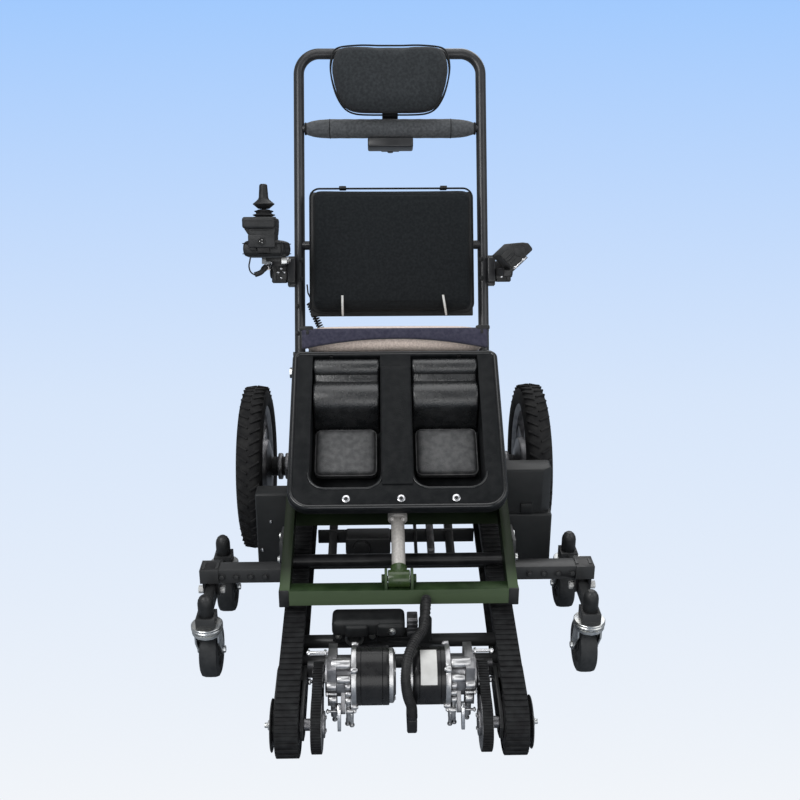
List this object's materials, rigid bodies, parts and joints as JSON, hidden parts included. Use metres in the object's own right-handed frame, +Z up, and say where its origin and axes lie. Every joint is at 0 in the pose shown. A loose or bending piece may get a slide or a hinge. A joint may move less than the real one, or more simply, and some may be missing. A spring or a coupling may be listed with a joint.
{
  "type": "stair climbing wheelchair",
  "caption": "Powered wheelchair with crawler tracks for stairs, rear wheels, bogie casters, tilting seat, leg tray, reclining back, flip-up arms and joystick.",
  "frame": {"origin": "on the floor, under the middle of the chair's overall length and width", "axes": "+Z up, -Y the way the chair faces, +X towards the rider's left hand side, which is the right of the picture"},
  "size_m": [0.75, 1.2428, 1.0854],
  "materials": {
    "tyre_rubber": "matt black tyre with a dusty tread",
    "caster_rubber": "matt dark grey polyurethane",
    "cast_alloy": "cast and turned alloy, satin",
    "belt_rubber": "matt ribbed rubber",
    "black_paint": "semi-gloss black enamel",
    "motor_paint": "satin black motor enamel",
    "box_paint": "satin black powder coat on sheet steel",
    "olive_paint": "semi-gloss olive green enamel",
    "back_tube_paint": "satin dark grey enamel",
    "bright_steel": "polished steel",
    "zinc_steel": "bright zinc plate",
    "black_plastic": "matt black plastic",
    "controller_plastic": "fine textured black plastic",
    "cable_sleeve": "ribbed black cable sleeve",
    "cord_jacket": "smooth black cord jacket",
    "boot_rubber": "matt black rubber boot",
    "seat_cloth": "beige brushed mesh cloth with a navy band",
    "back_cloth": "black spacer cloth",
    "bolster_cloth": "charcoal woven cloth",
    "tray_vinyl": "black pebbled vinyl with a glossy rim",
    "pad_vinyl": "black grained vinyl"
  },
  "bodies": {
    "chassis": {"green_frame": "olive_paint", "rear_subframe": "black_paint", "caster_beam": "black_paint", "battery_box": "box_paint", "battery_lid": "box_paint", "control_box": "box_paint"},
    "crawler": {"track_rail_left": "black_paint", "track_rail_right": "black_paint", "cross_tube_rear": "black_paint", "cross_tube_middle": "black_paint", "cross_tube_front": "black_paint", "track_belt_left": "belt_rubber", "track_belt_right": "belt_rubber", "motor_left": "motor_paint", "motor_right": "motor_paint", "gearbox_left": "cast_alloy", "gearbox_right": "cast_alloy", "lift_drive": "black_plastic", "motor_cable": "cable_sleeve"},
    "seat": {"seat_frame": "black_paint", "seat_cushion": "seat_cloth"},
    "strut_lower": {"strut_rod": "bright_steel"},
    "strut_upper": {"strut_tube": "bright_steel"},
    "tray": {"leg_tray": "tray_vinyl", "leg_cushion": "tray_vinyl"},
    "back": {"back_frame": "back_tube_paint", "back_board": "black_plastic", "back_cushion": "back_cloth", "bolster": "bolster_cloth", "curly_cord": "cord_jacket"},
    "headrest": {"headrest_stem": "black_paint", "headrest_pad": "bolster_cloth"},
    "left_armrest": {"arm_left": "black_paint", "arm_pad_left": "pad_vinyl", "controller": "controller_plastic", "controller_lead": "cord_jacket"},
    "right_armrest": {"arm_right": "black_paint", "arm_pad_right": "pad_vinyl"},
    "joystick_gimbal": {"joystick_gaiter": "boot_rubber"},
    "joystick_stick": {"joystick": "controller_plastic"},
    "front_drum_left_body": {"front_drum_left": "cast_alloy"},
    "rear_drum_left_body": {"rear_drum_left": "cast_alloy"},
    "release_lever_left_body": {"release_lever_left": "bright_steel"},
    "rear_wheel_left": {"rear_tyre_left": "tyre_rubber", "rear_hub_left": "cast_alloy"},
    "bogie_left_body": {"bogie_left": "black_paint"},
    "caster_front_left": {"caster_fork_front_left": "zinc_steel"},
    "caster_front_left_roller": {"caster_wheel_front_left": "caster_rubber"},
    "caster_rear_left": {"caster_fork_rear_left": "zinc_steel"},
    "caster_rear_left_roller": {"caster_wheel_rear_left": "caster_rubber"},
    "front_drum_right_body": {"front_drum_right": "cast_alloy"},
    "rear_drum_right_body": {"rear_drum_right": "cast_alloy"},
    "release_lever_right_body": {"release_lever_right": "bright_steel"},
    "rear_wheel_right": {"rear_tyre_right": "tyre_rubber", "rear_hub_right": "cast_alloy"},
    "bogie_right_body": {"bogie_right": "black_paint"},
    "caster_front_right": {"caster_fork_front_right": "zinc_steel"},
    "caster_front_right_roller": {"caster_wheel_front_right": "caster_rubber"},
    "caster_rear_right": {"caster_fork_rear_right": "zinc_steel"},
    "caster_rear_right_roller": {"caster_wheel_rear_right": "caster_rubber"}
  },
  "joints": [
    {"name": "crawler_swing", "type": "hinge", "parent": "chassis", "child": "crawler", "pos_m": [0, 0.1127, 0.205], "axis": [1, 0, 0], "range_deg": [0, 8]},
    {"name": "front_drum_left_spin", "type": "hinge", "parent": "crawler", "child": "front_drum_left_body", "pos_m": [-0.186, -0.5703, 0.0522], "axis": [1, 0, 0], "continuous": true},
    {"name": "rear_drum_left_spin", "type": "hinge", "parent": "crawler", "child": "rear_drum_left_body", "pos_m": [-0.186, 0.1127, 0.205], "axis": [1, 0, 0], "continuous": true},
    {"name": "release_lever_left_turn", "type": "hinge", "parent": "crawler", "child": "release_lever_left_body", "pos_m": [-0.1004, -0.5423, 0.062], "axis": [-1, 0, 0], "range_deg": [0, 30]},
    {"name": "rear_wheel_left_spin", "type": "hinge", "parent": "chassis", "child": "rear_wheel_left", "pos_m": [-0.31, 0.1657, 0.185], "axis": [1, 0, 0], "continuous": true},
    {"name": "bogie_left_rock", "type": "hinge", "parent": "chassis", "child": "bogie_left_body", "pos_m": [-0.351, -0.2688, 0.128], "axis": [1, 0, 0], "range_deg": [-6, 6]},
    {"name": "caster_front_left_swivel", "type": "hinge", "parent": "bogie_left_body", "child": "caster_front_left", "pos_m": [-0.345, -0.3788, 0.118], "axis": [0, 0, 1], "continuous": true},
    {"name": "caster_front_left_roll", "type": "hinge", "parent": "caster_front_left", "child": "caster_front_left_roller", "pos_m": [-0.345, -0.3508, 0.05], "axis": [1, 0, 0], "continuous": true},
    {"name": "caster_rear_left_swivel", "type": "hinge", "parent": "bogie_left_body", "child": "caster_rear_left", "pos_m": [-0.345, -0.1588, 0.118], "axis": [0, 0, 1], "continuous": true},
    {"name": "caster_rear_left_roll", "type": "hinge", "parent": "caster_rear_left", "child": "caster_rear_left_roller", "pos_m": [-0.345, -0.1308, 0.05], "axis": [1, 0, 0], "continuous": true},
    {"name": "front_drum_right_spin", "type": "hinge", "parent": "crawler", "child": "front_drum_right_body", "pos_m": [0.186, -0.5703, 0.0522], "axis": [1, 0, 0], "continuous": true},
    {"name": "rear_drum_right_spin", "type": "hinge", "parent": "crawler", "child": "rear_drum_right_body", "pos_m": [0.186, 0.1127, 0.205], "axis": [1, 0, 0], "continuous": true},
    {"name": "release_lever_right_turn", "type": "hinge", "parent": "crawler", "child": "release_lever_right_body", "pos_m": [0.1004, -0.5423, 0.062], "axis": [-1, 0, 0], "range_deg": [0, 30]},
    {"name": "rear_wheel_right_spin", "type": "hinge", "parent": "chassis", "child": "rear_wheel_right", "pos_m": [0.31, 0.1657, 0.185], "axis": [1, 0, 0], "continuous": true},
    {"name": "bogie_right_rock", "type": "hinge", "parent": "chassis", "child": "bogie_right_body", "pos_m": [0.351, -0.2688, 0.128], "axis": [1, 0, 0], "range_deg": [-6, 6]},
    {"name": "caster_front_right_swivel", "type": "hinge", "parent": "bogie_right_body", "child": "caster_front_right", "pos_m": [0.345, -0.3788, 0.118], "axis": [0, 0, 1], "continuous": true},
    {"name": "caster_front_right_roll", "type": "hinge", "parent": "caster_front_right", "child": "caster_front_right_roller", "pos_m": [0.345, -0.3508, 0.05], "axis": [1, 0, 0], "continuous": true},
    {"name": "caster_rear_right_swivel", "type": "hinge", "parent": "bogie_right_body", "child": "caster_rear_right", "pos_m": [0.345, -0.1588, 0.118], "axis": [0, 0, 1], "continuous": true},
    {"name": "caster_rear_right_roll", "type": "hinge", "parent": "caster_rear_right", "child": "caster_rear_right_roller", "pos_m": [0.345, -0.1308, 0.05], "axis": [1, 0, 0], "continuous": true},
    {"name": "seat_tilt", "type": "hinge", "parent": "chassis", "child": "seat", "pos_m": [0, 0.1437, 0.418], "axis": [-1, 0, 0], "range_deg": [0, 5]},
    {"name": "strut_pivot", "type": "hinge", "parent": "chassis", "child": "strut_lower", "pos_m": [0, -0.3793, 0.212], "axis": [-1, 0, 0], "range_deg": [-12.95, 0]},
    {"name": "strut_slide", "type": "slide", "parent": "strut_lower", "child": "strut_upper", "axis": [0, 0.8776, 0.4793], "range_m": [0, 0.0108]},
    {"name": "leg_tray_lift", "type": "hinge", "parent": "seat", "child": "tray", "pos_m": [0, -0.03657, 0.51601], "axis": [-1, 0, 0], "range_deg": [0, 40]},
    {"name": "back_recline", "type": "hinge", "parent": "seat", "child": "back", "pos_m": [0, 0.3307, 0.4], "axis": [-1, 0, 0], "range_deg": [0, 30], "deforming": ["curly_cord"]},
    {"name": "headrest_height", "type": "slide", "parent": "back", "child": "headrest", "axis": [0, 0.3883, 0.9215], "range_m": [0, 0.06]},
    {"name": "left_arm_flip", "type": "hinge", "parent": "back", "child": "left_armrest", "pos_m": [-0.279, 0.39547, 0.58974], "axis": [-1, 0, 0], "range_deg": [0, 90]},
    {"name": "right_arm_flip", "type": "hinge", "parent": "back", "child": "right_armrest", "pos_m": [0.279, 0.39547, 0.58974], "axis": [-1, 0, 0], "range_deg": [0, 90]},
    {"name": "joystick_fore_aft", "type": "hinge", "parent": "left_armrest", "child": "joystick_gimbal", "pos_m": [-0.2765, 0.23142, 0.73641], "axis": [-1, 0, 0], "range_deg": [-18, 18], "stiffness_Nm_per_rad": 0.3, "deforming": ["joystick_gaiter"]},
    {"name": "joystick_left_right", "type": "hinge", "parent": "joystick_gimbal", "child": "joystick_stick", "pos_m": [-0.2765, 0.23142, 0.73641], "axis": [0, -0.9761, 0.2173], "range_deg": [-18, 18], "stiffness_Nm_per_rad": 0.3, "deforming": ["joystick_gaiter"]}
  ],
  "couplings": [
    {"joint": "rear_drum_left_spin", "follows": "front_drum_left_spin", "ratio": 1},
    {"joint": "rear_drum_right_spin", "follows": "front_drum_right_spin", "ratio": 1},
    {"joint": "strut_pivot", "follows": "seat_tilt", "ratio": -2.58},
    {"joint": "strut_slide", "follows": "seat_tilt", "m_per_rad": 0.122}
  ]
}
